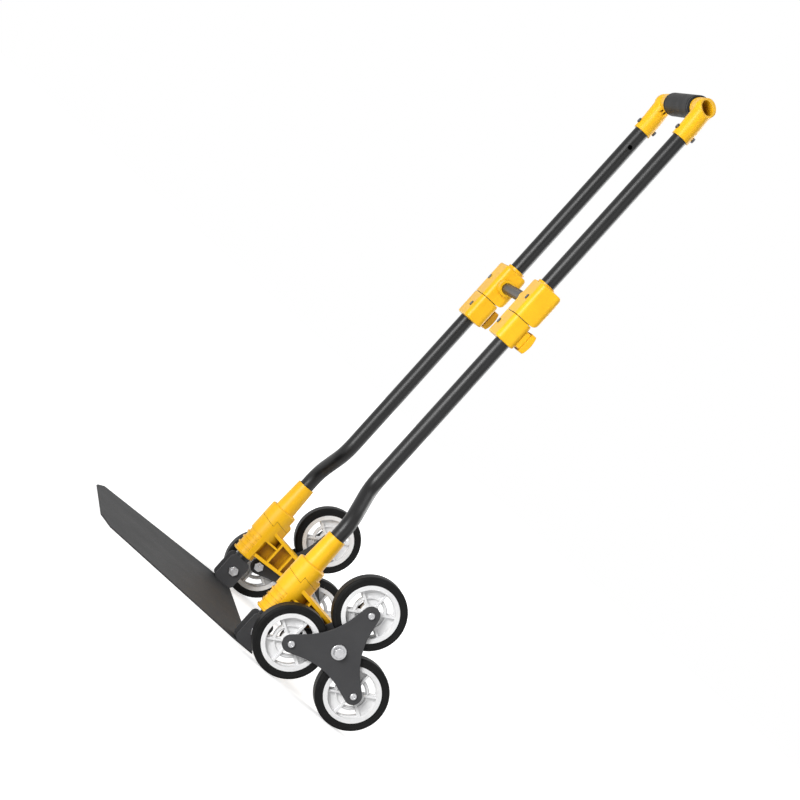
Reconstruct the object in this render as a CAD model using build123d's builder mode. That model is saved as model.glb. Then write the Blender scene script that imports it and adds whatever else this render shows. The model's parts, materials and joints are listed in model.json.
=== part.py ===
"""Folding stair-climbing trolley: telescopic handle, hinged toe plate, two clusters of three wheels.

Millimetres. +Z is up, -Y is the front (the toe plate), +X is the left side for a person pushing it.
The origin is on the floor, in the middle of the footprint.
"""
import os
from math import cos, radians, sin, tan

from build123d import *

# Tubes
TUBE_D = 22.0
TUBE_WALL = 1.5
HANDLE_SPACING = 188.0
TUBE_PITCH = 26.0
FOOT_SPACING = 330.0
BEND_R = 45.0
BEND_ANGLE = 42.0
FOOT_STRAIGHT = 9.5

# Handle
GRIP_Z = 944.5
GRIP_D = 33.5
GRIP_BAR_D = 18.0
ELBOW_WALL = 2.5
ELBOW_H = 54.5
COLLAR_D = 28.0
COLLAR_REACH = 34.5
CORNER_LEAD = 2.0
CORNER_DROP = 3.5
CORNER_D = 30.0
CORNER_FACE = 6.0
CORNER_TILT = 35.0
CORNER_TURN = 13.0
CORNER_HOLE_D = 22.0
CORNER_HOLE_DEPTH = 15.0
CORNER_RIB_T = 2.0
CORNER_RIB_PITCH = 5.0
CORNER_RIB_W = 6.0
CORNER_RIB_H = 9.0
TUBE_IN_ELBOW = 32.0
INDEX_HOLE_D = 7.0
INDEX_HOLE_DROP = 29.0

# Clamp blocks (fixed to the lower tubes) and slider blocks (fixed to the upper tubes)
CLAMP_Z = 566.5
CLAMP_H = 54.0
SLIDER_H = 38.5
BLOCK_SEAM = 1.0
BLOCK_SIDE = 16.0
BLOCK_FRONT = 17.0
CLAMP_BACK = 17.5
SLIDER_BACK = 13.0
BLOCK_CORNER = 9.0
BLOCK_EDGE = 2.5
CLAMP_CROWN = 2.6
SLIDER_CROWN = 1.5
BLOCK_FLOOR = 5.0
CLAMP_HEEL_R = 10.0
CLAMP_CREST_R = 5.5
SLIDER_HEEL_R = 3.0
SLIDER_CREST_R = 2.0
CLAMP_COLLAR_H = 4.0
CLAMP_COLLAR_T = 2.0
CROSS_TUBE_D = 16.0
CROSS_BOSS_D = 24.0
CROSS_BOSS_L = 18.0

# Release knob, with the brake pin and spring that hold the handle at the height it is set to
NECK_W = 24.0
NECK_H = 25.0
NECK_END = 23.0
NECK_WALL = 1.5
NECK_CORNER = 3.0
KNOB_H = 29.0
KNOB_W = 30.0
KNOB_START = 20.5
KNOB_END = 27.0
KNOB_CROWN = 2.5
PIN_D = 6.0
SHOE_D = 10.0
SHOE_L = 3.0
SPRING_WIRE_D = 0.65
SPRING_TURNS = 2.5

# Tube sockets and wheel brackets
SLEEVE_H = 47.0
SLEEVE_TOP_D = 27.0
SLEEVE_LOW_D = 31.0
SOCKET_H = 27.3
BRACKET_H = 60.7
BARREL_D = 42.0
SEAM_GAP = 0.4
SEAM_STEP = 9.0
SEAM_STEP_Y = -1.5
SEAM_ANGLE = 12.0
HEEL_D = 24.0
HEEL_REACH = 14.5
HEEL_DROP = 12.8
HEEL_BEVEL = 4.4
LIP_RISE = 36.5
FOOT_CLEAR = 6.0
FOOT_BACK = 5.0
FOOT_WALL = 2.5
RIB_COUNT = 4
RIB_SLOT_H = 7.0
RIB_PITCH = 9.5
RIB_DROP = 22.0
RIB_DEPTH = 1.8
RIB_BACK = 4.0
ARM_W = 38.0
ARM_WEB = 5.0
ARM_FLANGE = 5.0
ARM_DROP = 3.0
ARM_RISE = 9.0
ARM_RIBS = (28.5, 50.5)
ARM_RIB_T = 3.0
BOSS_D = 30.0

# Wheel clusters
WHEEL_D = 100.0
WHEEL_W = 21.0
RIM_D = 78.0
RIM_RING = 6.0
TYRE_SHOULDER = 3.0
TYRE_RIDGE_D = 93.0
TYRE_RIDGE_W = 1.2
TYRE_RIDGE_H = 0.4
WHEEL_OFFSET = 43.0
CLUSTER_ARM = 63.5
HUB_REACH = 89.0
HUB_LENGTH = 26.0
HUB_D = 22.0
CLUSTER_HUB_D = 23.0
PLATE_T = 3.0
ARM_END_R = 12.0
ARM_CENTRE_R = 24.0
PLATE_SIDE_R = 100.0
AXLE_D = 12.0
SLEEVE_D = 12.0
WHEEL_BOLT_D = 8.0
WHEEL_BOLT_HEAD_D = 9.5
WHEEL_BOLT_HEAD_H = 3.5
WHEEL_KEY_AF = 4.0
WHEEL_KEY_DEPTH = 1.5
WHEEL_NUT_AF = 13.0
WHEEL_NUT_H = 4.5
WEB_T = 4.0
SPOKE_COUNT = 6
SPOKE_T = 3.0
SPOKE_SET_BACK = 4.0
RING_RIB_D = 44.0
RING_RIB_T = 2.0
RING_SET_BACK = 6.0
WINDOW_MARGIN = 1.5
HUB_WASHER_D = 21.0
HUB_WASHER_T = 2.5
HUB_BOLT_D = 8.0
HUB_BOLT_AF = 13.0
HUB_BOLT_HEAD_H = 5.5
HUB_BOLT_L = 22.0

# Toe plate and its hinge
PLATE_REACH = 243.0
NOSE_W = 188.0
NOSE_SHOULDER = 15.0
NOSE_SHOULDER_W = 257.0
TOE_T = 2.0
NOSE_BEVEL = 1.0
HINGE_Z = 26.0
HINGE_BOLT_D = 8.0
HINGE_HEAD_AF = 13.0
HINGE_HEAD_H = 5.0
TUBE_BELOW_HINGE = 8.0
EAR_T = 2.5
EAR_FRONT = 17.0
EAR_BACK = 16.0
EAR_TOP = 21.0
EAR_CORNER_R = 7.0
STOP_LOW = 13.0
STOP_T = 2.5
RIVET_D = 5.0
RIVET_HEAD_D = 9.0
RIVET_HEAD_H = 2.0

# Screws
SCREW_D = 4.0
SCREW_HEAD_D = 7.5
SCREW_HEAD_H = 2.2
SCREW_NUT_AF = 7.0
SCREW_NUT_H = 3.0
SCREW_RISE = 10.0

# Clearances: FIT between fixed pieces, RUN round a turning shaft, SLIDE round a sliding tube
FIT = 0.05
RUN = 0.08
SLIDE = 0.3
GAP = 0.3

# Places worked out from the sizes above
TUBE_R = TUBE_D / 2
UPPER_X = HANDLE_SPACING / 2
LOWER_X = UPPER_X + TUBE_PITCH
FOOT_X = FOOT_SPACING / 2
WHEEL_X = FOOT_X + WHEEL_OFFSET
SPREAD = 30.0
HUB_Z = WHEEL_D / 2 + CLUSTER_ARM * sin(radians(SPREAD))
REAR_REACH = HUB_REACH + CLUSTER_ARM * cos(radians(SPREAD)) + WHEEL_D / 2
FRAME_Y = (PLATE_REACH - REAR_REACH) / 2
HUB_Y = FRAME_Y + HUB_REACH
WHEEL_ANGLES = {"top": 90.0, "front": 180.0 + SPREAD, "rear": -SPREAD}

SOCKET_RIM_Z = GRIP_Z - ELBOW_H
INDEX_HOLE_Z = SOCKET_RIM_Z - INDEX_HOLE_DROP
CLAMP_TOP = CLAMP_Z + CLAMP_H
LOWER_TOP = CLAMP_TOP - BLOCK_FLOOR
SLIDER_TOP = CLAMP_Z - BLOCK_SEAM
SLIDER_Z = SLIDER_TOP - SLIDER_H
UPPER_LOW = SLIDER_Z + BLOCK_FLOOR
UPPER_TOP = SOCKET_RIM_Z + TUBE_IN_ELBOW
BRAKE_Z = SLIDER_Z + SLIDER_H / 2
CROSS_Z = CLAMP_Z + CLAMP_H / 2
BLOCK_IN_X = UPPER_X - BLOCK_SIDE
COLLAR_END_X = UPPER_X - COLLAR_REACH

BARREL_FOOT_Z = HINGE_Z + EAR_TOP + FOOT_CLEAR
LIP_Z = BARREL_FOOT_Z + LIP_RISE
SEAM_Z = BARREL_FOOT_Z + BRACKET_H
BARREL_TOP_Z = SEAM_Z + SOCKET_H
SLEEVE_TOP_Z = BARREL_TOP_Z + SLEEVE_H
HEEL_TOP_Z = BARREL_TOP_Z - HEEL_DROP

STACK_IN_X = WHEEL_X - HUB_LENGTH / 2 - GAP
STACK_OUT_X = WHEEL_X + HUB_LENGTH / 2 + GAP
INNER_PLATE_X = STACK_IN_X - PLATE_T
OUTER_PLATE_X = STACK_OUT_X + PLATE_T
AXLE_END_X = OUTER_PLATE_X + GAP
BOSS_OUT_X = INNER_PLATE_X - GAP
EAR_IN = TUBE_R + GAP
EAR_OUT = EAR_IN + EAR_T
TUBE_END_Z = HINGE_Z - TUBE_BELOW_HINGE


def write(piece, name):
    """Label a finished piece and write it to its own file."""
    piece.part.label = name
    export_step(piece.part, f"parts/{name}.step")


def write_pair(piece, name):
    """Write a left-hand piece and its mirror image on the right."""
    write(piece, f"left_{name}")
    with BuildPart() as twin:
        mirror(piece.part, about=Plane.YZ)
    write(twin, f"right_{name}")


def write_both(piece, name):
    """Write a left-hand piece and its mirror image as one group."""
    with BuildPart() as group:
        add(piece.part)
        mirror(piece.part, about=Plane.YZ)
    write(group, name)


def level(x, y, z):
    """A horizontal plane at a point, looking up."""
    return Plane(origin=(x, y, z))


def across(x, y, z):
    """A plane at a point that faces +X, with Y to the right and Z up."""
    return Plane(origin=(x, y, z), x_dir=(0, 1, 0), z_dir=(1, 0, 0))


def rearward(x, y, z):
    """A plane at a point that faces +Y, with Z up."""
    return Plane(origin=(x, y, z), x_dir=(-1, 0, 0), z_dir=(0, 1, 0))


def wheel_place(angle):
    """The middle of a wheel, as Y and Z from the cluster's own axis."""
    return (CLUSTER_ARM * cos(radians(angle)), CLUSTER_ARM * sin(radians(angle)))


os.makedirs("parts", exist_ok=True)

# Lower frame tubes: straight at the back of the load, bent outwards to the wheels
bend_low = SLEEVE_TOP_Z + FOOT_STRAIGHT + BEND_R * tan(radians(BEND_ANGLE / 2))
bend_top = bend_low + (FOOT_X - LOWER_X) / tan(radians(BEND_ANGLE))
with BuildPart() as lower_tube:
    with BuildLine(Plane.XZ.offset(-FRAME_Y)):
        FilletPolyline(
            (LOWER_X, LOWER_TOP),
            (LOWER_X, bend_top),
            (FOOT_X, bend_low),
            (FOOT_X, TUBE_END_Z),
            radius=BEND_R,
        )
    with BuildSketch(Plane(origin=(LOWER_X, FRAME_Y, LOWER_TOP), z_dir=(0, 0, -1))):
        Circle(TUBE_R)
        Circle(TUBE_R - TUBE_WALL, mode=Mode.SUBTRACT)
    sweep()
    with BuildSketch(across(FOOT_X, FRAME_Y, HINGE_Z)):
        Circle(HINGE_BOLT_D / 2 + FIT)
    extrude(amount=TUBE_D, both=True, mode=Mode.SUBTRACT)
    with BuildSketch(rearward(LOWER_X, FRAME_Y, CROSS_Z)):
        Circle(SCREW_D / 2 + FIT)
    extrude(amount=-TUBE_D, mode=Mode.SUBTRACT)
write_pair(lower_tube, "lower_tube")

# Upper handle tubes, with an index hole on the inner side near the top
with BuildPart() as upper_tube:
    with BuildSketch(level(UPPER_X, FRAME_Y, UPPER_LOW)):
        Circle(TUBE_R)
        Circle(TUBE_R - TUBE_WALL, mode=Mode.SUBTRACT)
    extrude(amount=UPPER_TOP - UPPER_LOW)
    with BuildSketch(across(UPPER_X, FRAME_Y, INDEX_HOLE_Z)):
        Circle(INDEX_HOLE_D / 2)
    extrude(amount=-TUBE_D, mode=Mode.SUBTRACT)
    with BuildSketch(rearward(UPPER_X, FRAME_Y, SOCKET_RIM_Z + SCREW_RISE)):
        Circle(SCREW_D / 2 + FIT)
    extrude(amount=TUBE_D, both=True, mode=Mode.SUBTRACT)
    with BuildSketch(rearward(UPPER_X, FRAME_Y, BRAKE_Z)):
        Circle(SCREW_D / 2 + FIT)
    extrude(amount=-TUBE_D, mode=Mode.SUBTRACT)
write_pair(upper_tube, "upper_tube")

# Handle elbows: a socket for the tube, a collar for the grip bar, and an open corner
corner = Vector(UPPER_X, FRAME_Y - CORNER_LEAD, GRIP_Z - CORNER_DROP)
corner_out = Vector(1, 0, 0).rotate(Axis.Y, -CORNER_TILT).rotate(Axis.Z, CORNER_TURN)
corner_plane = Plane(origin=corner, z_dir=corner_out)
elbow_r = TUBE_R + ELBOW_WALL
with BuildPart() as elbow:
    with BuildSketch(level(UPPER_X, FRAME_Y, SOCKET_RIM_Z)):
        Circle(elbow_r)
    extrude(amount=2 * SCREW_RISE)
    with BuildSketch(level(UPPER_X, FRAME_Y, SOCKET_RIM_Z + 2 * SCREW_RISE)):
        Circle(elbow_r)
    with BuildSketch(level(*corner)):
        Circle(elbow_r)
    loft()
    with BuildSketch(across(COLLAR_END_X, FRAME_Y, GRIP_Z)):
        Circle(COLLAR_D / 2)
    extrude(amount=COLLAR_REACH)
    with Locations(corner):
        Sphere(CORNER_D / 2)
    with BuildSketch(corner_plane.offset(CORNER_FACE)):
        Rectangle(2 * CORNER_D, 2 * CORNER_D)
    extrude(amount=CORNER_D, mode=Mode.SUBTRACT)
    for rib in (-1, 0, 1):
        with BuildSketch(Plane.XZ.offset(-FRAME_Y - rib * CORNER_RIB_PITCH)):
            with Locations((UPPER_X - elbow_r, GRIP_Z - COLLAR_D / 2)):
                Polygon(
                    (ELBOW_WALL, ELBOW_WALL),
                    (-CORNER_RIB_W, ELBOW_WALL),
                    (ELBOW_WALL, -CORNER_RIB_H),
                    align=None,
                )
        extrude(amount=CORNER_RIB_T / 2, both=True)
    with BuildSketch(level(UPPER_X, FRAME_Y, SOCKET_RIM_Z)):
        Circle(TUBE_R + FIT)
    extrude(amount=TUBE_IN_ELBOW, mode=Mode.SUBTRACT)
    with BuildSketch(across(COLLAR_END_X, FRAME_Y, GRIP_Z)):
        Circle(GRIP_BAR_D / 2 + FIT)
    extrude(amount=COLLAR_REACH - CORNER_D / 2, mode=Mode.SUBTRACT)
    with BuildSketch(corner_plane.offset(CORNER_FACE)):
        Circle(CORNER_HOLE_D / 2)
    extrude(amount=-CORNER_HOLE_DEPTH, mode=Mode.SUBTRACT)
    with BuildSketch(rearward(UPPER_X, FRAME_Y, SOCKET_RIM_Z + SCREW_RISE)):
        Circle(SCREW_D / 2 + FIT)
    extrude(amount=TUBE_D, both=True, mode=Mode.SUBTRACT)
write_pair(elbow, "elbow")

# Grip bar and the padded grip over it
with BuildPart() as grip_bar:
    with BuildSketch(across(0, FRAME_Y, GRIP_Z)):
        Circle(GRIP_BAR_D / 2)
        Circle(GRIP_BAR_D / 2 - TUBE_WALL, mode=Mode.SUBTRACT)
    extrude(amount=UPPER_X - CORNER_D / 2 - GAP, both=True)
write(grip_bar, "grip_bar")

with BuildPart() as grip:
    with BuildSketch(across(0, FRAME_Y, GRIP_Z)):
        Circle(GRIP_D / 2)
    extrude(amount=COLLAR_END_X, both=True)
    fillet(grip.edges().filter_by(GeomType.CIRCLE), radius=(GRIP_D - COLLAR_D) / 2)
    with BuildSketch(across(0, FRAME_Y, GRIP_Z)):
        Circle(GRIP_BAR_D / 2 + FIT)
    extrude(amount=COLLAR_END_X, both=True, mode=Mode.SUBTRACT)
write(grip, "grip")

# Through screws that hold the elbows on the tubes
screw_y = FRAME_Y - elbow_r
with BuildPart() as elbow_screw:
    with BuildSketch(rearward(UPPER_X, screw_y, SOCKET_RIM_Z + SCREW_RISE)):
        Circle(SCREW_HEAD_D / 2)
    extrude(amount=-SCREW_HEAD_H)
    fillet(elbow_screw.faces().sort_by(Axis.Y)[0].edges(), radius=SCREW_HEAD_H / 2)
    with BuildSketch(rearward(UPPER_X, screw_y, SOCKET_RIM_Z + SCREW_RISE)):
        Circle(SCREW_D / 2)
    extrude(amount=2 * elbow_r + SCREW_NUT_H)
write_both(elbow_screw, "elbow_screws")

with BuildPart() as elbow_nut:
    with BuildSketch(rearward(UPPER_X, FRAME_Y + elbow_r, SOCKET_RIM_Z + SCREW_RISE)):
        RegularPolygon(SCREW_NUT_AF / 2, 6, major_radius=False)
        Circle(SCREW_D / 2 + FIT, mode=Mode.SUBTRACT)
    extrude(amount=SCREW_NUT_H)
write_both(elbow_nut, "elbow_nuts")


def block_plan(back):
    """Draw the plan of a block that holds an upper and a lower tube side by side."""
    depth = BLOCK_FRONT + back
    with Locations(((UPPER_X + LOWER_X) / 2, FRAME_Y - BLOCK_FRONT + depth / 2)):
        RectangleRounded(TUBE_PITCH + 2 * BLOCK_SIDE, depth, BLOCK_CORNER)


def block_side(low, high, back, crown, crest_r, heel_r):
    """Draw the side view of a block, with a crowned back, a rounded crest and a rounded heel."""
    with BuildLine() as outline:
        Polyline((back, high), (-BLOCK_FRONT, high), (-BLOCK_FRONT, low), (back, low))
        ThreePointArc((back, low), (back + crown, (low + high) / 2), (back, high))
    side = make_face(outline.edges())
    crest = side.vertices().group_by(Axis.Y)[-1].sort_by(Axis.X)[-1]
    rounded = fillet(crest, radius=crest_r)
    heel = rounded.vertices().group_by(Axis.Y)[0].sort_by(Axis.X)[-1]
    fillet(heel, radius=heel_r)


# Clamp blocks: closed over the lower tube, open for the upper tube to slide through
with BuildPart() as clamp_block:
    with BuildSketch(Plane.XY.offset(CLAMP_Z)):
        block_plan(CLAMP_BACK + CLAMP_CROWN)
    extrude(amount=CLAMP_H)
    fillet(clamp_block.faces().sort_by(Axis.Z)[-1].edges(), radius=BLOCK_EDGE)
    with BuildSketch(across(BLOCK_IN_X, FRAME_Y, 0)):
        block_side(CLAMP_Z, CLAMP_TOP, CLAMP_BACK, CLAMP_CROWN, CLAMP_CREST_R, CLAMP_HEEL_R)
    extrude(amount=TUBE_PITCH + 2 * BLOCK_SIDE, mode=Mode.INTERSECT)
    with BuildSketch(level(UPPER_X, FRAME_Y, CROSS_Z)):
        Circle(TUBE_R + SLIDE + CLAMP_COLLAR_T)
    extrude(amount=CLAMP_TOP + CLAMP_COLLAR_H - CROSS_Z)
    with BuildSketch(across(BLOCK_IN_X, FRAME_Y, CROSS_Z)):
        Circle(CROSS_BOSS_D / 2)
    extrude(amount=-CROSS_BOSS_L)
    with BuildSketch(across(BLOCK_IN_X, FRAME_Y, CROSS_Z)):
        Circle(CROSS_TUBE_D / 2 + FIT)
    extrude(amount=-CROSS_BOSS_L, mode=Mode.SUBTRACT)
    with BuildSketch(level(UPPER_X, FRAME_Y, CLAMP_Z)):
        Circle(TUBE_R + SLIDE)
    extrude(amount=CLAMP_H + CLAMP_COLLAR_H, mode=Mode.SUBTRACT)
    with BuildSketch(level(LOWER_X, FRAME_Y, CLAMP_Z)):
        Circle(TUBE_R + FIT)
    extrude(amount=CLAMP_H - BLOCK_FLOOR, mode=Mode.SUBTRACT)
    with BuildSketch(rearward(LOWER_X, FRAME_Y, CROSS_Z)):
        Circle(SCREW_D / 2 + FIT)
    extrude(amount=-2 * BLOCK_FRONT, mode=Mode.SUBTRACT)
write_pair(clamp_block, "clamp_block")

# Cross tube that ties the two clamp blocks together
with BuildPart() as cross_tube:
    with BuildSketch(across(0, FRAME_Y, CROSS_Z)):
        Circle(CROSS_TUBE_D / 2)
        Circle(CROSS_TUBE_D / 2 - TUBE_WALL, mode=Mode.SUBTRACT)
    extrude(amount=BLOCK_IN_X - FIT, both=True)
write(cross_tube, "cross_tube")

# Slider blocks: closed under the upper tube, open for the lower tube, with a neck for the brake
with BuildPart() as slider_block:
    with BuildSketch(Plane.XY.offset(SLIDER_Z)):
        block_plan(SLIDER_BACK + SLIDER_CROWN)
    extrude(amount=SLIDER_H)
    fillet(slider_block.faces().sort_by(Axis.Z)[0].edges(), radius=BLOCK_EDGE)
    with BuildSketch(across(BLOCK_IN_X, FRAME_Y, 0)):
        block_side(SLIDER_Z, SLIDER_TOP, SLIDER_BACK, SLIDER_CROWN, SLIDER_CREST_R, SLIDER_HEEL_R)
    extrude(amount=TUBE_PITCH + 2 * BLOCK_SIDE, mode=Mode.INTERSECT)
    with BuildSketch(rearward(LOWER_X, FRAME_Y, BRAKE_Z)):
        RectangleRounded(NECK_W, NECK_H, NECK_CORNER)
    extrude(amount=NECK_END)
    with BuildSketch(rearward(LOWER_X, FRAME_Y, BRAKE_Z)):
        Circle(SHOE_D / 2 + GAP)
    extrude(amount=NECK_END - NECK_WALL, mode=Mode.SUBTRACT)
    with BuildSketch(rearward(LOWER_X, FRAME_Y, BRAKE_Z)):
        Circle(PIN_D / 2 + RUN)
    extrude(amount=NECK_END, mode=Mode.SUBTRACT)
    with BuildSketch(level(LOWER_X, FRAME_Y, SLIDER_Z)):
        Circle(TUBE_R + SLIDE)
    extrude(amount=SLIDER_H, mode=Mode.SUBTRACT)
    with BuildSketch(level(UPPER_X, FRAME_Y, SLIDER_TOP)):
        Circle(TUBE_R + FIT)
    extrude(amount=-(SLIDER_H - BLOCK_FLOOR), mode=Mode.SUBTRACT)
    with BuildSketch(rearward(UPPER_X, FRAME_Y, BRAKE_Z)):
        Circle(SCREW_D / 2 + FIT)
    extrude(amount=-2 * BLOCK_FRONT, mode=Mode.SUBTRACT)
write_pair(slider_block, "slider_block")


def block_screw(x, z):
    """A low-headed screw from the front of a block into the tube behind it."""
    with BuildPart() as screw:
        with BuildSketch(rearward(x, FRAME_Y - BLOCK_FRONT, z)):
            Circle(SCREW_HEAD_D / 2)
        extrude(amount=-SCREW_HEAD_H / 2)
        with BuildSketch(rearward(x, FRAME_Y - BLOCK_FRONT, z)):
            Circle(SCREW_D / 2)
        extrude(amount=BLOCK_FRONT - TUBE_R + 2 * TUBE_WALL)
    return screw


write_both(block_screw(LOWER_X, CROSS_Z), "clamp_screws")
write_both(block_screw(UPPER_X, BRAKE_Z), "slider_screws")

# Release knob: a crowned cap that is pulled backwards by its rim
with BuildPart() as release_knob:
    with BuildSketch(across(LOWER_X, FRAME_Y, BRAKE_Z)):
        with BuildLine():
            Polyline(
                (KNOB_END, KNOB_H / 2),
                (KNOB_START, KNOB_H / 2),
                (KNOB_START, -KNOB_H / 2),
                (KNOB_END, -KNOB_H / 2),
            )
            ThreePointArc((KNOB_END, -KNOB_H / 2), (KNOB_END + KNOB_CROWN, 0), (KNOB_END, KNOB_H / 2))
        make_face()
    extrude(amount=KNOB_W / 2, both=True)
    fillet(release_knob.edges().filter_by(Axis.Y), radius=NECK_CORNER)
    with BuildSketch(rearward(LOWER_X, FRAME_Y + KNOB_START, BRAKE_Z)):
        RectangleRounded(NECK_W + 2 * GAP, NECK_H + 2 * GAP, NECK_CORNER + GAP)
    extrude(amount=NECK_END - KNOB_START + GAP, mode=Mode.SUBTRACT)
    with BuildSketch(rearward(LOWER_X, FRAME_Y, BRAKE_Z)):
        Circle(PIN_D / 2 + FIT)
    extrude(amount=KNOB_END, mode=Mode.SUBTRACT)
write_pair(release_knob, "release_knob")

# Brake pin: fixed in the knob, with a hollowed shoe that bears on the back of the lower tube
with BuildPart() as brake_pin:
    with BuildSketch(rearward(LOWER_X, FRAME_Y, BRAKE_Z)):
        Circle(SHOE_D / 2)
    extrude(amount=TUBE_R + SHOE_L)
    with BuildSketch(rearward(LOWER_X, FRAME_Y, BRAKE_Z)):
        Circle(PIN_D / 2)
    extrude(amount=KNOB_END)
    with BuildSketch(level(LOWER_X, FRAME_Y, BRAKE_Z)):
        Circle(TUBE_R + RUN)
    extrude(amount=SHOE_D, both=True, mode=Mode.SUBTRACT)
write_pair(brake_pin, "brake_pin")

# Brake spring: pushes the shoe towards the tube
spring_low = TUBE_R + SHOE_L + GAP + SPRING_WIRE_D / 2
spring_high = NECK_END - NECK_WALL - GAP - SPRING_WIRE_D / 2
with BuildPart() as brake_spring:
    with BuildLine():
        coil = Helix(
            pitch=(spring_high - spring_low) / SPRING_TURNS,
            height=spring_high - spring_low,
            radius=(SHOE_D - SPRING_WIRE_D) / 2,
            center=(LOWER_X, FRAME_Y + spring_low, BRAKE_Z),
            direction=(0, 1, 0),
        )
    with BuildSketch(Plane(origin=coil @ 0, z_dir=coil % 0)):
        Circle(SPRING_WIRE_D / 2)
    sweep()
write_pair(brake_spring, "brake_spring")


def barrel_plan():
    """Draw the plan of the barrel round the tube, with the heel behind it."""
    with BuildLine() as outline:
        CenterArc((0, 0), BARREL_D / 2, 0, 360)
        CenterArc((0, HEEL_REACH), HEEL_D / 2, 0, 360)
    make_hull(outline.edges())


def seam_points(gap):
    """The stepped seam between socket and bracket, as Y and Z points from front to back."""
    slope = tan(radians(SEAM_ANGLE))
    step_y = SEAM_STEP_Y + gap
    low = SEAM_Z - gap
    return [
        (-BARREL_D, low + BARREL_D * slope),
        (step_y, low - step_y * slope),
        (step_y, low - step_y * slope + SEAM_STEP),
        (BARREL_D, low - BARREL_D * slope + SEAM_STEP),
    ]


# Tube sockets: a tapered sleeve and the upper part of the barrel, fixed on the lower tubes
with BuildPart() as tube_socket:
    with BuildSketch(Plane(origin=(FOOT_X, FRAME_Y, 0), x_dir=(1, 0, 0), z_dir=(0, -1, 0))):
        with BuildLine():
            Polyline(
                (0, SEAM_Z),
                (BARREL_D / 2, SEAM_Z),
                (BARREL_D / 2, BARREL_TOP_Z - TUBE_WALL),
                (BARREL_D / 2 - TUBE_WALL, BARREL_TOP_Z),
                (SLEEVE_LOW_D / 2, BARREL_TOP_Z),
                (SLEEVE_TOP_D / 2, SLEEVE_TOP_Z),
                (0, SLEEVE_TOP_Z),
                close=True,
            )
        make_face()
    revolve(axis=Axis((FOOT_X, FRAME_Y, 0), (0, 0, 1)))
    with BuildSketch(level(FOOT_X, FRAME_Y, SEAM_Z)):
        barrel_plan()
    extrude(amount=HEEL_TOP_Z - SEAM_Z)
    with BuildSketch(across(FOOT_X, FRAME_Y + HEEL_REACH + HEEL_D / 2, HEEL_TOP_Z)):
        Polygon((-HEEL_BEVEL, 0), (HEEL_BEVEL, 0), (HEEL_BEVEL, -2 * HEEL_BEVEL), align=None)
    extrude(amount=BARREL_D, both=True, mode=Mode.SUBTRACT)
    with BuildSketch(across(FOOT_X, FRAME_Y, 0)):
        with BuildLine():
            Polyline(*seam_points(0), (BARREL_D, LIP_Z), (-BARREL_D, LIP_Z), close=True)
        make_face()
    extrude(amount=BARREL_D, both=True, mode=Mode.SUBTRACT)
    with BuildSketch(level(FOOT_X, FRAME_Y, SEAM_Z)):
        Circle(TUBE_R + FIT)
    extrude(amount=SLEEVE_TOP_Z - SEAM_Z, mode=Mode.SUBTRACT)
write_pair(tube_socket, "tube_socket")

# Arm of the wheel bracket: a web between two flanges, with cross ribs and a lip under the barrel
with BuildPart() as bracket_arm:
    with BuildSketch(across(FOOT_X, FRAME_Y, 0)) as arm_profile:
        with BuildLine():
            Line((0, BARREL_FOOT_Z + ARM_RISE), (0, SEAM_Z - ARM_DROP))
            CenterArc((HUB_REACH, HUB_Z), BOSS_D / 2, 0, 360)
        make_hull()
    extrude(amount=ARM_W / 2, both=True)
    for side in (1, -1):
        with BuildSketch(across(FOOT_X + side * ARM_WEB / 2, FRAME_Y, 0)):
            offset(arm_profile.sketch_local.face(), amount=-ARM_FLANGE)
            with Locations((0, LIP_Z)):
                Rectangle(ARM_RIBS[0], ARM_RIB_T, align=(Align.MIN, Align.MIN), mode=Mode.SUBTRACT)
            for rib in ARM_RIBS:
                with Locations((rib, HUB_Z)):
                    Rectangle(ARM_RIB_T, 2 * BARREL_D, mode=Mode.SUBTRACT)
            with Locations((HUB_REACH, HUB_Z)):
                Circle(BOSS_D / 2, mode=Mode.SUBTRACT)
        extrude(amount=side * ARM_W, mode=Mode.SUBTRACT)
    with BuildSketch(across(BOSS_OUT_X, HUB_Y, HUB_Z)):
        Circle(BOSS_D / 2)
    extrude(amount=-(BOSS_OUT_X - FOOT_X + ARM_W / 2))

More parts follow.
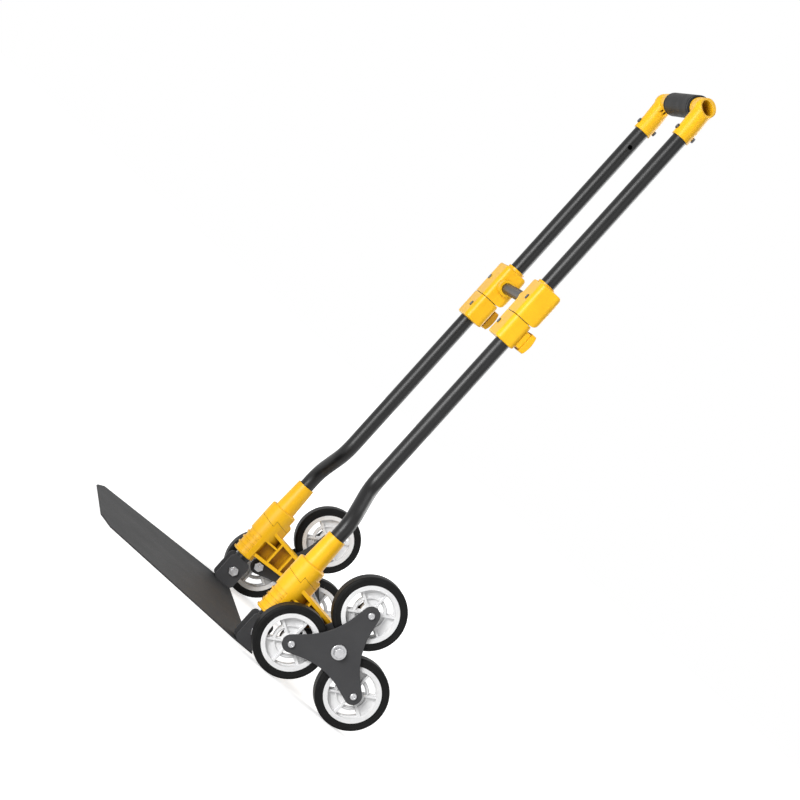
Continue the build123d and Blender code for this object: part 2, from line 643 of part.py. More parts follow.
# Wheel brackets: the lower barrel with its ribbed foot, and the arm that carries the axle
with BuildPart() as wheel_bracket:
    with BuildSketch(level(FOOT_X, FRAME_Y, BARREL_FOOT_Z)):
        Circle(BARREL_D / 2)
        with Locations((0, FOOT_BACK)):
            Rectangle(2 * BARREL_D, BARREL_D, align=(Align.CENTER, Align.MIN), mode=Mode.SUBTRACT)
    extrude(amount=LIP_Z - BARREL_FOOT_Z)
    foot_rim = wheel_bracket.faces().sort_by(Axis.Z)[0].edges().filter_by(GeomType.CIRCLE)
    chamfer(foot_rim, length=TUBE_WALL)
    with BuildSketch(level(FOOT_X, FRAME_Y, BARREL_FOOT_Z)):
        Circle(TUBE_R + FIT + FOOT_WALL)
    extrude(amount=LIP_Z - BARREL_FOOT_Z)
    with BuildSketch(level(FOOT_X, FRAME_Y, LIP_Z)):
        barrel_plan()
    extrude(amount=HEEL_TOP_Z - LIP_Z)
    with BuildSketch(across(FOOT_X, FRAME_Y, 0)):
        with BuildLine():
            Polyline(
                *seam_points(SEAM_GAP),
                (BARREL_D, SLEEVE_TOP_Z),
                (-BARREL_D, SLEEVE_TOP_Z),
                close=True,
            )
        make_face()
    extrude(amount=BARREL_D, both=True, mode=Mode.SUBTRACT)
    for slot in range(RIB_COUNT):
        with BuildSketch(level(FOOT_X, FRAME_Y, SEAM_Z - RIB_DROP - slot * RIB_PITCH)):
            Circle(BARREL_D)
            Circle(BARREL_D / 2 - RIB_DEPTH, mode=Mode.SUBTRACT)
            with Locations((0, -RIB_BACK)):
                Rectangle(2 * BARREL_D, 2 * BARREL_D, align=(Align.CENTER, Align.MIN), mode=Mode.SUBTRACT)
        extrude(amount=-RIB_SLOT_H, mode=Mode.SUBTRACT)
    add(bracket_arm.part)
    with BuildSketch(level(FOOT_X, FRAME_Y, BARREL_FOOT_Z)):
        Circle(TUBE_R + FIT)
    extrude(amount=SEAM_Z, mode=Mode.SUBTRACT)
    with BuildSketch(across(FOOT_X, HUB_Y, HUB_Z)):
        Circle(AXLE_D / 2 + FIT)
    extrude(amount=BOSS_OUT_X, both=True, mode=Mode.SUBTRACT)
write_pair(wheel_bracket, "wheel_bracket")

# Axle right across the trolley, with a bolt and a washer in each end
with BuildPart() as axle:
    with BuildSketch(across(0, HUB_Y, HUB_Z)):
        Circle(AXLE_D / 2)
    extrude(amount=AXLE_END_X, both=True)
    for side in (1, -1):
        with BuildSketch(across(side * AXLE_END_X, HUB_Y, HUB_Z)):
            Circle(HUB_BOLT_D / 2 + FIT)
        extrude(amount=-side * HUB_BOLT_L, mode=Mode.SUBTRACT)
write(axle, "axle")

with BuildPart() as hub_washer:
    with BuildSketch(across(AXLE_END_X, HUB_Y, HUB_Z)):
        Circle(HUB_WASHER_D / 2)
    extrude(amount=HUB_WASHER_T)
    fillet(hub_washer.faces().sort_by(Axis.X)[-1].edges(), radius=HUB_WASHER_T / 2)
    with BuildSketch(across(AXLE_END_X, HUB_Y, HUB_Z)):
        Circle(HUB_BOLT_D / 2 + FIT)
    extrude(amount=HUB_WASHER_T, mode=Mode.SUBTRACT)
write_both(hub_washer, "hub_washers")

with BuildPart() as hub_bolt:
    with BuildSketch(across(AXLE_END_X + HUB_WASHER_T, HUB_Y, HUB_Z)):
        RegularPolygon(HUB_BOLT_AF / 2, 6, major_radius=False)
    extrude(amount=HUB_BOLT_HEAD_H)
    chamfer(hub_bolt.faces().sort_by(Axis.X)[-1].edges(), length=HUB_BOLT_HEAD_H / 8)
    with BuildSketch(across(AXLE_END_X + HUB_WASHER_T, HUB_Y, HUB_Z)):
        Circle(HUB_BOLT_D / 2)
    extrude(amount=-HUB_BOLT_L)
write_both(hub_bolt, "hub_bolts")


def cluster_plate(x):
    """A three-armed plate with rounded ends and hollowed sides, from x inwards."""
    with BuildPart() as plate:
        with BuildSketch(across(x, HUB_Y, HUB_Z)) as outline:
            for angle in WHEEL_ANGLES.values():
                with BuildSketch(mode=Mode.PRIVATE) as arm:
                    with BuildLine():
                        CenterArc((0, 0), ARM_CENTRE_R, 0, 360)
                        CenterArc(wheel_place(angle), ARM_END_R, 0, 360)
                    make_hull()
                add(arm.sketch)
            inner_corners = outline.vertices().sort_by_distance((0, 0, 0))[:3]
            fillet(inner_corners, radius=PLATE_SIDE_R)
            Circle(AXLE_D / 2 + GAP, mode=Mode.SUBTRACT)
            for angle in WHEEL_ANGLES.values():
                with Locations(wheel_place(angle)):
                    Circle(WHEEL_BOLT_D / 2 + FIT, mode=Mode.SUBTRACT)
        extrude(amount=-PLATE_T)
    return plate


write_pair(cluster_plate(OUTER_PLATE_X), "outer_plate")
write_pair(cluster_plate(STACK_IN_X), "inner_plate")

# Cluster hub: the sleeve between the two plates that turns on the axle
with BuildPart() as cluster_hub:
    with BuildSketch(across(STACK_IN_X, HUB_Y, HUB_Z)):
        Circle(CLUSTER_HUB_D / 2)
        Circle(AXLE_D / 2 + RUN, mode=Mode.SUBTRACT)
    extrude(amount=STACK_OUT_X - STACK_IN_X)
write_pair(cluster_hub, "cluster_hub")

wheel_places = [wheel_place(angle) for angle in WHEEL_ANGLES.values()]

# Spacer sleeves that the wheels run on, clamped between the plates by the wheel bolts
with BuildPart() as wheel_sleeves:
    with BuildSketch(across(STACK_IN_X, HUB_Y, HUB_Z)):
        with Locations(*wheel_places):
            Circle(SLEEVE_D / 2)
        with Locations(*wheel_places):
            Circle(WHEEL_BOLT_D / 2 + FIT, mode=Mode.SUBTRACT)
    extrude(amount=STACK_OUT_X - STACK_IN_X)
write_pair(wheel_sleeves, "wheel_sleeves")

with BuildPart() as wheel_bolts:
    with BuildSketch(across(OUTER_PLATE_X, HUB_Y, HUB_Z)):
        with Locations(*wheel_places):
            Circle(WHEEL_BOLT_HEAD_D / 2)
    extrude(amount=WHEEL_BOLT_HEAD_H)
    fillet(wheel_bolts.faces().group_by(Axis.X)[-1].edges(), radius=WHEEL_BOLT_HEAD_H / 2)
    with BuildSketch(across(OUTER_PLATE_X, HUB_Y, HUB_Z)):
        with Locations(*wheel_places):
            Circle(WHEEL_BOLT_D / 2)
    extrude(amount=-(OUTER_PLATE_X - INNER_PLATE_X + WHEEL_NUT_H))
    with BuildSketch(across(OUTER_PLATE_X + WHEEL_BOLT_HEAD_H, HUB_Y, HUB_Z)):
        with Locations(*wheel_places):
            RegularPolygon(WHEEL_KEY_AF / 2, 6, major_radius=False)
    extrude(amount=-WHEEL_KEY_DEPTH, mode=Mode.SUBTRACT)
write_pair(wheel_bolts, "wheel_bolts")

with BuildPart() as wheel_nuts:
    with BuildSketch(across(INNER_PLATE_X, HUB_Y, HUB_Z)):
        with Locations(*wheel_places):
            RegularPolygon(WHEEL_NUT_AF / 2, 6, major_radius=False)
        with Locations(*wheel_places):
            Circle(WHEEL_BOLT_D / 2 + FIT, mode=Mode.SUBTRACT)
    extrude(amount=-WHEEL_NUT_H)
write_pair(wheel_nuts, "wheel_nuts")


def wheel_rim(y, z):
    """A moulded wheel centre: rim ring, dished web, six spokes, a ring rib and three fields of windows."""
    half = WHEEL_W / 2
    ring_in = RIM_D / 2 - RIM_RING
    step = 360 / SPOKE_COUNT
    with BuildPart() as rim:
        for radius, hole, thick in (
            (RIM_D / 2, ring_in, WHEEL_W),
            (ring_in + FIT, HUB_D / 2 - FIT, WEB_T),
            (RING_RIB_D / 2, RING_RIB_D / 2 - RING_RIB_T, WHEEL_W - 2 * RING_SET_BACK),
            (HUB_D / 2, 0, HUB_LENGTH),
        ):
            with BuildSketch(across(WHEEL_X, y, z)):
                Circle(radius)
                if hole:
                    Circle(hole, mode=Mode.SUBTRACT)
            extrude(amount=thick / 2, both=True)
        with BuildSketch(across(WHEEL_X, y, z)):
            with PolarLocations(0, SPOKE_COUNT, start_angle=step / 2):
                Rectangle(ring_in + RIM_RING / 2, SPOKE_T, align=(Align.MIN, Align.CENTER))
        extrude(amount=half - SPOKE_SET_BACK, both=True)
        with BuildSketch(across(WHEEL_X, y, z)):
            Circle(ring_in - WINDOW_MARGIN)
            Circle(RING_RIB_D / 2 + WINDOW_MARGIN, mode=Mode.SUBTRACT)
            Circle(RING_RIB_D / 2 - RING_RIB_T - WINDOW_MARGIN)
            Circle(HUB_D / 2 + WINDOW_MARGIN, mode=Mode.SUBTRACT)
            # Every second field between the spokes stays closed
            reach = RIM_D * tan(radians(step / 2))
            with PolarLocations(0, SPOKE_COUNT // 2):
                Polygon((0, 0), (RIM_D, -reach), (RIM_D, reach), align=None, mode=Mode.SUBTRACT)
            with PolarLocations(0, SPOKE_COUNT, start_angle=step / 2):
                bar = SPOKE_T + 2 * WINDOW_MARGIN
                Rectangle(RIM_D, bar, align=(Align.MIN, Align.CENTER), mode=Mode.SUBTRACT)
        extrude(amount=half, both=True, mode=Mode.SUBTRACT)
        with BuildSketch(across(WHEEL_X, y, z)):
            Circle(SLEEVE_D / 2 + RUN)
        extrude(amount=HUB_LENGTH, both=True, mode=Mode.SUBTRACT)
    return rim


def wheel_tyre(y, z):
    """A solid rubber tyre with rounded shoulders and a ridge on each side, seated on the rim."""
    with BuildPart() as tyre:
        with BuildSketch(across(WHEEL_X, y, z)):
            Circle(WHEEL_D / 2)
            Circle(RIM_D / 2 + FIT, mode=Mode.SUBTRACT)
        extrude(amount=WHEEL_W / 2, both=True)
        shoulders = tyre.edges().filter_by(GeomType.CIRCLE).group_by(SortBy.RADIUS)[-1]
        fillet(shoulders, radius=TYRE_SHOULDER)
        with BuildSketch(across(WHEEL_X, y, z)):
            Circle(TYRE_RIDGE_D / 2)
            Circle(TYRE_RIDGE_D / 2 - TYRE_RIDGE_W, mode=Mode.SUBTRACT)
        extrude(amount=WHEEL_W / 2 + TYRE_RIDGE_H, both=True)
    return tyre


for place, angle in WHEEL_ANGLES.items():
    wheel_y, wheel_z = wheel_place(angle)
    write_pair(wheel_rim(HUB_Y + wheel_y, HUB_Z + wheel_z), f"{place}_rim")
    write_pair(wheel_tyre(HUB_Y + wheel_y, HUB_Z + wheel_z), f"{place}_tyre")

# Toe plate: a flat sheet that narrows to its nose
heel_w = FOOT_SPACING + 2 * EAR_OUT
nose_y = FRAME_Y - PLATE_REACH
shoulder_y = nose_y + NOSE_SHOULDER
with BuildPart() as toe_plate:
    with BuildSketch():
        with BuildLine():
            Polyline(
                (NOSE_W / 2, nose_y),
                (NOSE_SHOULDER_W / 2, shoulder_y),
                (heel_w / 2, FRAME_Y - EAR_FRONT),
                (heel_w / 2, FRAME_Y + EAR_BACK),
                (0, FRAME_Y + EAR_BACK),
                (0, nose_y),
                close=True,
            )
        make_face()
        mirror(about=Plane.YZ)
    extrude(amount=TOE_T)
    nose_edge = toe_plate.edges().filter_by(Axis.X).group_by(Axis.Y)[0].sort_by(Axis.Z)[-1]
    chamfer(nose_edge, length=NOSE_BEVEL)
    with BuildSketch():
        for side in (1, -1):
            with Locations(
                (side * FOOT_X, FRAME_Y - EAR_FRONT / 2),
                (side * FOOT_X, FRAME_Y + EAR_BACK / 2),
            ):
                Circle(RIVET_D / 2 + FIT)
    extrude(amount=TOE_T, mode=Mode.SUBTRACT)
write(toe_plate, "toe_plate")

# Hinge brackets: two ears either side of the tube, a base on the plate and a stop behind the tube
with BuildPart() as hinge_bracket:
    with BuildSketch(across(FOOT_X, FRAME_Y, 0)):
        with BuildLine():
            Polyline(
                (-EAR_FRONT, TOE_T),
                (EAR_BACK, TOE_T),
                (EAR_BACK, HINGE_Z + EAR_TOP),
                (-EAR_FRONT, HINGE_Z + EAR_TOP),
                close=True,
            )
        ear_face = make_face()
        fillet(ear_face.vertices().group_by(Axis.Z)[-1], radius=EAR_CORNER_R)
    extrude(amount=EAR_OUT, both=True)
    with BuildSketch(across(FOOT_X, FRAME_Y, TOE_T + EAR_T)):
        Rectangle(4 * EAR_FRONT, 4 * EAR_TOP, align=(Align.CENTER, Align.MIN))
    extrude(amount=EAR_IN, both=True, mode=Mode.SUBTRACT)
    with BuildSketch(level(FOOT_X, FRAME_Y + TUBE_R + GAP, HINGE_Z + STOP_LOW)):
        Rectangle(2 * EAR_OUT, STOP_T, align=(Align.CENTER, Align.MIN))
    extrude(amount=EAR_TOP - STOP_LOW - EAR_CORNER_R / 2)
    with BuildSketch(across(FOOT_X, FRAME_Y, HINGE_Z)):
        Circle(HINGE_BOLT_D / 2 + RUN)
    extrude(amount=2 * EAR_OUT, both=True, mode=Mode.SUBTRACT)
    with BuildSketch(level(FOOT_X, FRAME_Y, TOE_T)):
        with Locations((0, -EAR_FRONT / 2), (0, EAR_BACK / 2)):
            Circle(RIVET_D / 2 + FIT)
    extrude(amount=EAR_T, mode=Mode.SUBTRACT)
write_pair(hinge_bracket, "hinge_bracket")

# Rivets that hold the hinge brackets on the toe plate
with BuildPart() as bracket_rivet:
    with BuildSketch(level(FOOT_X, FRAME_Y, 0)):
        with Locations((0, -EAR_FRONT / 2), (0, EAR_BACK / 2)):
            Circle(RIVET_D / 2)
    extrude(amount=TOE_T + EAR_T)
    with BuildSketch(level(FOOT_X, FRAME_Y, TOE_T + EAR_T)):
        with Locations((0, -EAR_FRONT / 2), (0, EAR_BACK / 2)):
            Circle(RIVET_HEAD_D / 2)
    extrude(amount=RIVET_HEAD_H)
    fillet(bracket_rivet.faces().group_by(Axis.Z)[-1].edges(), radius=RIVET_HEAD_H / 2)
write_both(bracket_rivet, "bracket_rivets")

# Hinge bolts through the ears and the tube's lower end
with BuildPart() as hinge_bolt:
    with BuildSketch(across(FOOT_X + EAR_OUT + GAP, FRAME_Y, HINGE_Z)):
        RegularPolygon(HINGE_HEAD_AF / 2, 6, major_radius=False)
    extrude(amount=HINGE_HEAD_H)
    chamfer(hinge_bolt.faces().sort_by(Axis.X)[-1].edges(), length=HINGE_HEAD_H / 8)
    with BuildSketch(across(FOOT_X + EAR_OUT + GAP, FRAME_Y, HINGE_Z)):
        Circle(HINGE_BOLT_D / 2)
    extrude(amount=-(2 * EAR_OUT + 2 * GAP + HINGE_HEAD_H))
write_both(hinge_bolt, "hinge_bolts")

with BuildPart() as hinge_nut:
    with BuildSketch(across(FOOT_X - EAR_OUT - GAP, FRAME_Y, HINGE_Z)):
        RegularPolygon(HINGE_HEAD_AF / 2, 6, major_radius=False)
        Circle(HINGE_BOLT_D / 2 + FIT, mode=Mode.SUBTRACT)
    extrude(amount=-HINGE_HEAD_H)
write_both(hinge_nut, "hinge_nuts")
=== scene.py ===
"""Looks for the stair-climbing trolley: materials, fitted pieces, camera and light."""
import json
from math import cos, pi, radians, sin

import bpy
from mathutils import Matrix, Vector
from mathutils.noise import noise as foam_noise


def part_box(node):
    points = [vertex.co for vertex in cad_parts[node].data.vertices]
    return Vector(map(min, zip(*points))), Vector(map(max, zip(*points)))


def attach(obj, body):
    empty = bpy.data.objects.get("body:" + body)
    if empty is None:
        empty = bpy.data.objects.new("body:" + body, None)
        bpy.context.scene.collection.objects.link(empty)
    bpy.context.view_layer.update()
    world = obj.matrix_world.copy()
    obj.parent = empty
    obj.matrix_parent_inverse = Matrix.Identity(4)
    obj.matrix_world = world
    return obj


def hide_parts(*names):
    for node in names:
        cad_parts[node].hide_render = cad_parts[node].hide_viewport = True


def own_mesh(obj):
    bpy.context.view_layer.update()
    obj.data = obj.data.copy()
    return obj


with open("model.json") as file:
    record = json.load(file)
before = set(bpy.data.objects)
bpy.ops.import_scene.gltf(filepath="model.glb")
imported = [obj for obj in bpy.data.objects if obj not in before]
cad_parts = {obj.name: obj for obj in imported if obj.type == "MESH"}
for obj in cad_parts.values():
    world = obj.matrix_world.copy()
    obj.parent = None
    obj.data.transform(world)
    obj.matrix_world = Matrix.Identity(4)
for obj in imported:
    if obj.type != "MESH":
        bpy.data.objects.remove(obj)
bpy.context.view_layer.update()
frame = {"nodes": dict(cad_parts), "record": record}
nodes = frame["nodes"]

# Finishes: what all of them have in common, with lengths in metres
BLOTCH_RANGE = (0.32, 0.68)
BLOTCH_DETAIL = 4.0
GRAIN_RANGE = (0.30, 0.70)
GRAIN_SHADES = (0.94, 1.04)
GRAIN_DETAIL = 2.0
GLOSS_RANGE = (0.7, 1.3)
BUMP_STRENGTH = 0.6
EDGE_WIDTH = 0.0007
EDGE_TURN = (0.80, 0.985)
EDGE_SAMPLES = 6
WEAR_SCALE = 90.0
WEAR_DETAIL = 5.0
WEAR_RANGE = (0.35, 0.65)
WEAR_SHARES = (0.15, 1.0)
WEAR_STRENGTH = 0.5
# Painted shade: hollows darken toward a given dark colour by how closed in they are, found by ambient
# occlusion
PAINTED_SHADE_REACH = 0.022
PAINTED_SHADE_RANGE = (0.20, 0.62)
PAINTED_SHADE_STRENGTH = 0.85
PAINTED_SHADE_SAMPLES = 8


def add(tree, kind, sockets=None, **settings):
    """A new shader node. A socket's value is a constant, or another node's output to link."""
    made = tree.nodes.new(kind)
    for name, value in settings.items():
        setattr(made, name, value)
    for name, value in (sockets or {}).items():
        if isinstance(value, bpy.types.NodeSocket):
            tree.links.new(value, made.inputs[name])
        else:
            made.inputs[name].default_value = value
    return made


def combine(tree, operation, first, second, **settings):
    """One sum or product of two values."""
    return add(tree, "ShaderNodeMath", {0: first, 1: second}, operation=operation, **settings).outputs[0]


def noise(tree, coords, scale, detail):
    """A noise factor over the given coordinates."""
    return add(tree, "ShaderNodeTexNoise", {"Vector": coords, "Scale": scale, "Detail": detail}).outputs[0]


def spread(tree, value, taken, given):
    """Map a value from one range to another, clamped."""
    ends = {"From Min": taken[0], "From Max": taken[1], "To Min": given[0], "To Max": given[1]}
    return add(tree, "ShaderNodeMapRange", {"Value": value, **ends}).outputs[0]


def blend(tree, factor, first, second, mode="MIX"):
    """Mix two colours by a factor."""
    made = add(tree, "ShaderNodeMix", data_type="RGBA", blend_type=mode)
    factor_in, first_in, second_in = made.inputs[0], made.inputs[6], made.inputs[7]
    for socket, value in ((factor_in, factor), (first_in, first), (second_in, second)):
        if isinstance(value, bpy.types.NodeSocket):
            tree.links.new(value, socket)
        elif isinstance(value, (int, float)):
            socket.default_value = value
        else:
            socket.default_value = (*value, 1)
    return made.outputs[2]


def edge_mask(tree, patches):
    """Where the surface turns sharply, broken up by a noise, and the normal with its edges rounded."""
    bevel = add(tree, "ShaderNodeBevel", {"Radius": EDGE_WIDTH}, samples=EDGE_SAMPLES)
    geometry = add(tree, "ShaderNodeNewGeometry")
    turn = add(tree, "ShaderNodeVectorMath", operation="DOT_PRODUCT")
    tree.links.new(bevel.outputs[0], turn.inputs[0])
    tree.links.new(geometry.outputs["Normal"], turn.inputs[1])
    edge = spread(tree, turn.outputs["Value"], EDGE_TURN, (1.0, 0.0))
    broken = combine(tree, "MULTIPLY", edge, spread(tree, patches, WEAR_RANGE, WEAR_SHARES))
    return broken, bevel.outputs[0]


def surface(name, shades, rough, grain, depth, wear, metallic=0.0, specular=0.5, blotch=22.0, painted_shade=None):
    """A finish with mottled colour, uneven gloss, a fine grain and rubbed edges, and painted shade
    darkening its hollows.
    """
    material = bpy.data.materials.new(name)
    material.use_nodes = True
    tree = material.node_tree
    shader = tree.nodes["Principled BSDF"]
    coords = add(tree, "ShaderNodeTexCoord").outputs["Object"]
    large = noise(tree, coords, blotch, BLOTCH_DETAIL)
    fine = noise(tree, coords, grain, GRAIN_DETAIL)
    colour = blend(tree, spread(tree, large, BLOTCH_RANGE, (0.0, 1.0)), shades[0], shades[1])
    speck = spread(tree, fine, GRAIN_RANGE, GRAIN_SHADES)
    tint = add(tree, "ShaderNodeCombineColor", {"Red": speck, "Green": speck, "Blue": speck})
    colour = blend(tree, 1.0, colour, tint.outputs[0], "MULTIPLY")
    mask, rounded = edge_mask(tree, noise(tree, coords, WEAR_SCALE, WEAR_DETAIL))
    colour = blend(tree, combine(tree, "MULTIPLY", mask, WEAR_STRENGTH), colour, wear)
    # Painted shade: the colour turns to the given dark colour in hollows and recesses, by ambient occlusion
    if painted_shade:
        shade_occlusion = add(tree, "ShaderNodeAmbientOcclusion", {"Distance": PAINTED_SHADE_REACH}, samples=PAINTED_SHADE_SAMPLES)
        shade_share = spread(tree, shade_occlusion.outputs["AO"], PAINTED_SHADE_RANGE, (PAINTED_SHADE_STRENGTH, 0.0))
        colour = blend(tree, shade_share, colour, painted_shade)
    tree.links.new(colour, shader.inputs["Base Color"])
    gloss = spread(tree, combine(tree, "ADD", large, fine), GLOSS_RANGE, rough)
    tree.links.new(gloss, shader.inputs["Roughness"])
    relief = {"Strength": BUMP_STRENGTH, "Distance": depth, "Height": fine, "Normal": rounded}
    tree.links.new(add(tree, "ShaderNodeBump", relief).outputs[0], shader.inputs["Normal"])
    shader.inputs["Metallic"].default_value = metallic
    shader.inputs["Specular IOR Level"].default_value = specular
    return material


yellow = surface(
    "yellow_plastic",
    shades=((0.83, 0.44, 0.006), (0.89, 0.49, 0.010)),
    rough=(0.32, 0.44),
    grain=700.0,
    depth=0.00001,
    wear=(0.92, 0.58, 0.08),
    specular=0.28,
    # painted shade colour for the yellow plastic's hollows
    painted_shade=(0.20, 0.075, 0.002),
)
tube_paint = surface(
    "tube_paint",
    shades=((0.003, 0.003, 0.0032), (0.006, 0.006, 0.0062)),
    rough=(0.33, 0.41),
    grain=700.0,
    depth=0.00001,
    wear=(0.05, 0.05, 0.05),
    specular=0.33,
)
plate_paint = surface(
    "plate_paint",
    shades=((0.046, 0.046, 0.048), (0.054, 0.054, 0.056)),
    rough=(0.50, 0.64),
    grain=900.0,
    depth=0.00002,
    wear=(0.13, 0.13, 0.13),
    specular=0.16,
)
toe_paint = surface(
    "toe_paint",
    shades=((0.026, 0.026, 0.027), (0.036, 0.036, 0.037)),
    rough=(0.54, 0.70),
    grain=700.0,
    depth=0.00005,
    wear=(0.20, 0.20, 0.20),
    specular=0.14,
    blotch=14.0,
)
zinc = surface(
    "zinc_steel",
    shades=((0.40, 0.40, 0.41), (0.52, 0.52, 0.53)),
    rough=(0.24, 0.36),
    grain=500.0,
    depth=0.000008,
    wear=(0.66, 0.66, 0.67),
    metallic=1.0,
    blotch=60.0,
)
dark_steel = surface(
    "dark_steel",
    shades=((0.06, 0.06, 0.065), (0.10, 0.10, 0.105)),
    rough=(0.28, 0.45),
    grain=600.0,
    depth=0.00001,
    wear=(0.40, 0.40, 0.40),
    metallic=1.0,
    blotch=80.0,
)
hub_plastic = surface(
    "hub_plastic",
    shades=((0.014, 0.014, 0.014), (0.022, 0.022, 0.022)),
    rough=(0.45, 0.60),
    grain=900.0,
    depth=0.00002,
    wear=(0.06, 0.06, 0.06),
    specular=0.2,
)
rim_plastic = surface(
    "rim_plastic",
    shades=((0.72, 0.72, 0.725), (0.78, 0.78, 0.78)),
    rough=(0.36, 0.48),
    grain=900.0,
    depth=0.00001,
    wear=(0.84, 0.84, 0.84),
    specular=0.25,
    blotch=40.0,
)
tyre_rubber = surface(
    "tyre_rubber",
    shades=((0.006, 0.006, 0.006), (0.010, 0.010, 0.010)),
    rough=(0.42, 0.56),
    grain=700.0,
    depth=0.00003,
    wear=(0.03, 0.03, 0.03),
    specular=0.10,
    blotch=45.0,
)
grip_rubber = surface(
    "grip_rubber",
    shades=((0.008, 0.008, 0.0085), (0.013, 0.013, 0.0135)),
    rough=(0.46, 0.62),
    grain=1200.0,
    depth=0.00005,
    wear=(0.03, 0.03, 0.03),
    specular=0.13,
    blotch=60.0,
)

finishes = {
    "yellow_plastic": yellow,
    "tube_paint": tube_paint,
    "plate_paint": plate_paint,
    "zinc_steel": zinc,
    "dark_steel": dark_steel,
    "hub_plastic": hub_plastic,
    "rim_plastic": rim_plastic,
    "tyre_rubber": tyre_rubber,
    "grip_rubber": grip_rubber,
}
slots = {entry["node"]: entry["material_slot"] for entry in frame["record"]["subparts"]}
for name, piece in nodes.items():
    finish = toe_paint if name == "toe_plate" else finishes[slots[name]]
    piece.data.materials.clear()
    piece.data.materials.append(finish)


def ring_faces(first, second, count):
    """The band of faces between two rings of points, each given by its first point."""
    band = []
    for place in range(count):
        following = (place + 1) % count
        band.append((first + place, first + following, second + following, second + place))
    return band


def new_piece(name, points, faces, finish):
    """A mesh object in the scene, with its four-sided faces smooth."""
    shape = bpy.data.meshes.new(name)
    shape.from_pydata(points, [], faces)
    shape.update()
    shape.polygons.foreach_set("use_smooth", [len(face) == 4 for face in faces])
    made = bpy.data.objects.new(name, shape)
    bpy.context.collection.objects.link(made)
    made.data.materials.append(finish)
    return made


# Grip: a foam sleeve with rounded lips and a shallow groove at each end
LIP_R = 0.0024
LIP_STEPS = 6
GROOVE_AT = 0.0065
GROOVE_W = 0.0016
GROOVE_DEPTH = 0.0005
GROOVE_STEPS = 4
BARREL_STEPS = 20
GRIP_SEGMENTS = 96
SWELL = 0.00008
SWELL_SCALE = 140
grip_low, grip_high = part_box("grip")
grip_middle = (Vector(grip_low) + Vector(grip_high)) / 2
grip_half = grip_high[0] - grip_middle.x
grip_r = grip_high[2] - grip_middle.z
bar_low, bar_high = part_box("grip_bar")
bore_r = (bar_high[2] - bar_low[2]) / 2
profile = [(-grip_half, bore_r), (-grip_half, grip_r - LIP_R)]
for step in range(1, LIP_STEPS + 1):
    turn = pi / 2 * step / LIP_STEPS
    profile.append((-grip_half + LIP_R * (1 - cos(turn)), grip_r - LIP_R * (1 - sin(turn))))
for step in range(GROOVE_STEPS + 1):
    dip = GROOVE_DEPTH * sin(pi * step / GROOVE_STEPS)
    profile.append((-grip_half + GROOVE_AT + GROOVE_W * step / GROOVE_STEPS, grip_r - dip))
barrel_half = grip_half - GROOVE_AT - GROOVE_W
for step in range(1, BARREL_STEPS):
    profile.append((-barrel_half + barrel_half * step / BARREL_STEPS, grip_r))
profile += [(0.0, grip_r)] + [(-x, r) for x, r in reversed(profile)]
points = []
for x, r in profile:
    for segment in range(GRIP_SEGMENTS):
        turn = 2 * pi * segment / GRIP_SEGMENTS
        spot = Vector((x, r * cos(turn), r * sin(turn)))
        swell = SWELL * (foam_noise(spot * SWELL_SCALE) - 1) if r > grip_r - LIP_R / 2 else 0.0
        points.append(grip_middle + Vector((x, (r + swell) * cos(turn), (r + swell) * sin(turn))))
faces = []
for ring in range(len(profile)):
    following_ring = (ring + 1) % len(profile)
    faces += ring_faces(ring * GRIP_SEGMENTS, following_ring * GRIP_SEGMENTS, GRIP_SEGMENTS)
foam_grip = new_piece("foam_grip", points, faces, grip_rubber)
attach(foam_grip, "handle")
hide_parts("grip")

# Brake springs: wire coils in place of the spring parts; the real springs close up when their knob is
# pulled
WIRE_R = 0.000325
COIL_TURNS = 2.5
COIL_STEPS = 120
WIRE_SIDES = 12
for hand in ("left", "right"):
    spring_low, spring_high = (Vector(corner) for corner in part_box(f"{hand}_brake_spring"))
    spring_middle = (spring_low + spring_high) / 2
    spring_length = spring_high.y - spring_low.y
    coil_r = (spring_high.x - spring_low.x) / 2 - WIRE_R
    points = []
    for step in range(COIL_STEPS + 1):
        turn = 2 * pi * COIL_TURNS * step / COIL_STEPS
        outward = Vector((cos(turn), 0, sin(turn)))
        along = spring_low.y + WIRE_R + (spring_length - 2 * WIRE_R) * step / COIL_STEPS
        heart = Vector((spring_middle.x, along, spring_middle.z)) + outward * coil_r
        for wire_side in range(WIRE_SIDES):
            lean = 2 * pi * wire_side / WIRE_SIDES
            points.append(heart + (outward * cos(lean) + Vector((0, sin(lean), 0))) * WIRE_R)
    last_ring = COIL_STEPS * WIRE_SIDES
    faces = [tuple(reversed(range(WIRE_SIDES)))]
    for step in range(COIL_STEPS):
        faces += ring_faces(step * WIRE_SIDES, (step + 1) * WIRE_SIDES, WIRE_SIDES)
    faces.append(tuple(range(last_ring, last_ring + WIRE_SIDES)))
    coil = new_piece(f"{hand}_spring_coil", points, faces, zinc)
    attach(coil, "handle")
    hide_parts(f"{hand}_brake_spring")
    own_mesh(coil)


def seen_directly(tree):
    """One for what the camera sees, straight on, mirrored or through something clear, else zero."""
    path = add(tree, "ShaderNodeLightPath").outputs
    seen = combine(tree, "ADD", path["Is Camera Ray"], path["Is Glossy Ray"])
    return combine(tree, "ADD", seen, path["Is Transmission Ray"], use_clamp=True)


WHITE = (1, 1, 1, 1)

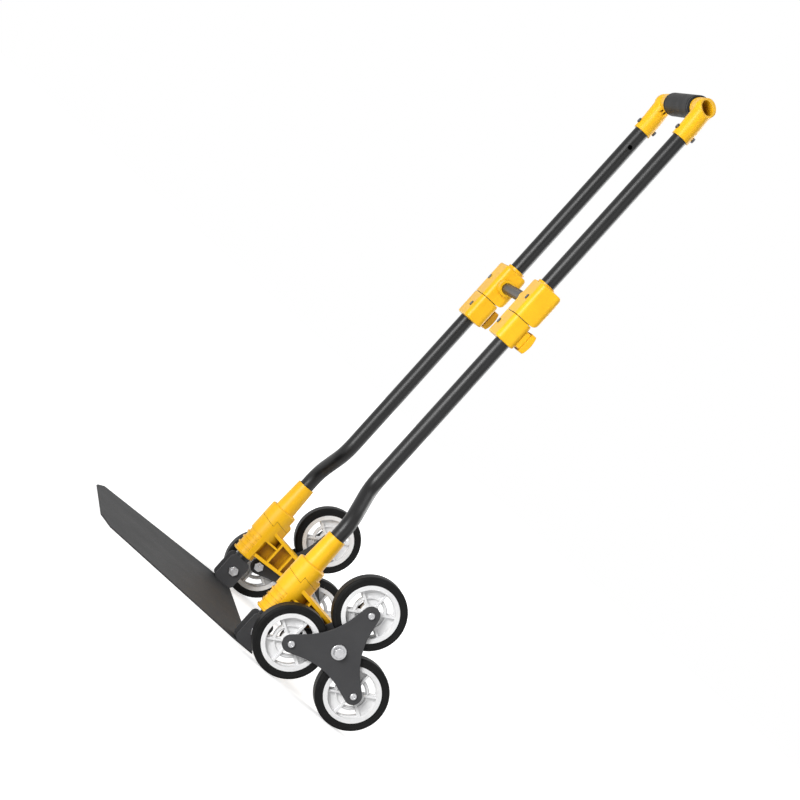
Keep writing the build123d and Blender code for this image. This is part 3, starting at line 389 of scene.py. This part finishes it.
# Floor: white to the camera, and it keeps the shadow
FLOOR_SIZE = 40
FLOOR_COLOUR = (0.80, 0.80, 0.80, 1)
FLOOR_ROUGHNESS = 0.9
FLOOR_SPECULAR = 0.05
LIFT_DISTANCES = (0.5, 2.0)
LIFT_STRENGTHS = (0.55, 1.0)
bpy.ops.mesh.primitive_plane_add(size=FLOOR_SIZE)
floor = bpy.context.object
floor.name = "floor"
floor_paint = bpy.data.materials.new("floor")
floor_paint.use_nodes = True
tree = floor_paint.node_tree
paint = tree.nodes["Principled BSDF"]
paint.inputs["Base Color"].default_value = FLOOR_COLOUR
paint.inputs["Roughness"].default_value = FLOOR_ROUGHNESS
paint.inputs["Specular IOR Level"].default_value = FLOOR_SPECULAR
coords = add(tree, "ShaderNodeTexCoord").outputs["Object"]
away = add(tree, "ShaderNodeVectorMath", {0: coords}, operation="LENGTH").outputs["Value"]
lift = combine(tree, "MULTIPLY", seen_directly(tree), spread(tree, away, LIFT_DISTANCES, LIFT_STRENGTHS))
white = add(tree, "ShaderNodeEmission", {"Color": WHITE, "Strength": lift})
both = add(tree, "ShaderNodeAddShader", {0: paint.outputs[0], 1: white.outputs[0]})
tree.links.new(both.outputs[0], tree.nodes["Material Output"].inputs["Surface"])
floor.data.materials.append(floor_paint)

# World: an even studio glow on the object, and a white backdrop for the camera
GLOW_STRENGTH = 0.25
BACKDROP_STRENGTH = 1.0
world = bpy.data.worlds.new("studio")
bpy.context.scene.world = world
world.use_nodes = True
tree = world.node_tree
glow = tree.nodes["Background"]
glow.inputs["Color"].default_value = WHITE
glow.inputs["Strength"].default_value = GLOW_STRENGTH
backdrop = add(tree, "ShaderNodeBackground", {"Color": WHITE, "Strength": BACKDROP_STRENGTH})
layers = {0: seen_directly(tree), 1: glow.outputs[0], 2: backdrop.outputs[0]}
mixed = add(tree, "ShaderNodeMixShader", layers)
tree.links.new(mixed.outputs[0], tree.nodes["World Output"].inputs["Surface"])

# Camera: the photograph's place and lens, leaning so that the trolley tilts as it does there
FOCAL_PIXELS = 2177.23
FRAME_PIXELS = 800.0
SENSOR_WIDTH = 36.0
TURN = radians(13.527)
RISE = radians(0.788)
ROLL = radians(42.093)
TUBE_PLANE_Y = 0.024504
CAMERA_PLACE = Vector((2.935149, TUBE_PLANE_Y - 0.728349, 0.41752))
back = Vector((cos(TURN) * cos(RISE), -sin(TURN) * cos(RISE), sin(RISE)))
side = Vector((sin(TURN), cos(TURN), 0))
over = side.cross(-back)
right = side * cos(ROLL) + over * sin(ROLL)
up = over * cos(ROLL) - side * sin(ROLL)
lens = bpy.data.cameras.new("camera")
lens.sensor_width = SENSOR_WIDTH
lens.lens = SENSOR_WIDTH * FOCAL_PIXELS / FRAME_PIXELS
camera = bpy.data.objects.new("camera", lens)
bpy.context.collection.objects.link(camera)
aim = Matrix((right, up, back)).transposed().to_4x4()
camera.matrix_world = Matrix.Translation(CAMERA_PLACE) @ aim
bpy.context.scene.camera = camera

# Lamps: soft disks of a given width in metres and power in watts, aimed at the trolley
LAMP_TARGET = Vector((0, 0, 0.42))


def softbox(name, place, size, power):
    """An area lamp aimed at the middle of the trolley."""
    data = bpy.data.lights.new(name, "AREA")
    data.shape = "DISK"
    data.size = size
    data.energy = power
    lamp = bpy.data.objects.new(name, data)
    bpy.context.collection.objects.link(lamp)
    lamp.location = place
    lamp.rotation_euler = (LAMP_TARGET - place).to_track_quat("-Z", "Y").to_euler()


softbox("key", LAMP_TARGET + back * 2.3 + up * 1.1 - right * 0.95, size=1.3, power=74.0)
softbox("fill", LAMP_TARGET + back * 2.2 - up * 0.8 + right * 1.8, size=2.0, power=8.0)
softbox("top", Vector((0.0, 0.2, 3.0)), size=2.0, power=22.0)
softbox("behind", LAMP_TARGET - back * 1.6 + side * 1.9 + over * 0.9, size=2.0, power=38.0)

bpy.context.scene.view_settings.view_transform = "Standard"
